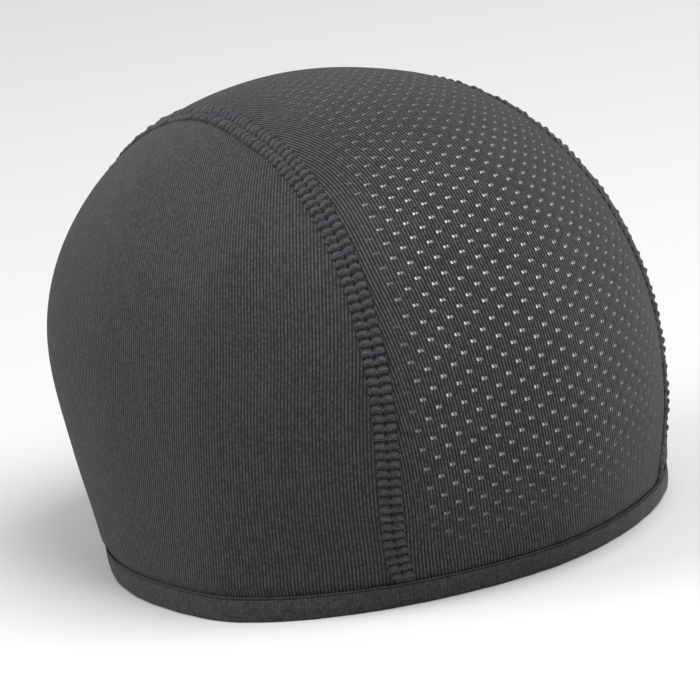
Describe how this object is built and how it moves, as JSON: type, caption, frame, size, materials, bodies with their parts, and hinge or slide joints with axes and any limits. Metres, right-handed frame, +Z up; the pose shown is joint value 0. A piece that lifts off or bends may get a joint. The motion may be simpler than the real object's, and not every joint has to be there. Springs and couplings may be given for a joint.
{
  "type": "helmet liner cap",
  "caption": "Close-fitting domed knit cap worn under a helmet, with a pierced crown panel, plain side panels, flat seams and a folded hem band.",
  "frame": {"origin": "on the surface the cap rests on, under the middle of its bounding box", "axes": "-Y towards the wearer's front, +X towards the wearer's left, +Z up from the hem to the crown"},
  "size_m": [0.156, 0.1926, 0.131],
  "materials": {
    "pierced_knit": "matt knitted mesh",
    "ribbed_knit": "soft sheen, fine ribs",
    "seam_thread": "spun thread",
    "band_knit": "smooth elastic knit"
  },
  "bodies": {
    "root": {"crown_panel": "pierced_knit", "side_panel_left": "ribbed_knit", "side_panel_right": "ribbed_knit", "flat_seam_left": "seam_thread", "flat_seam_right": "seam_thread", "hem_band": "band_knit"}
  },
  "joints": []
}
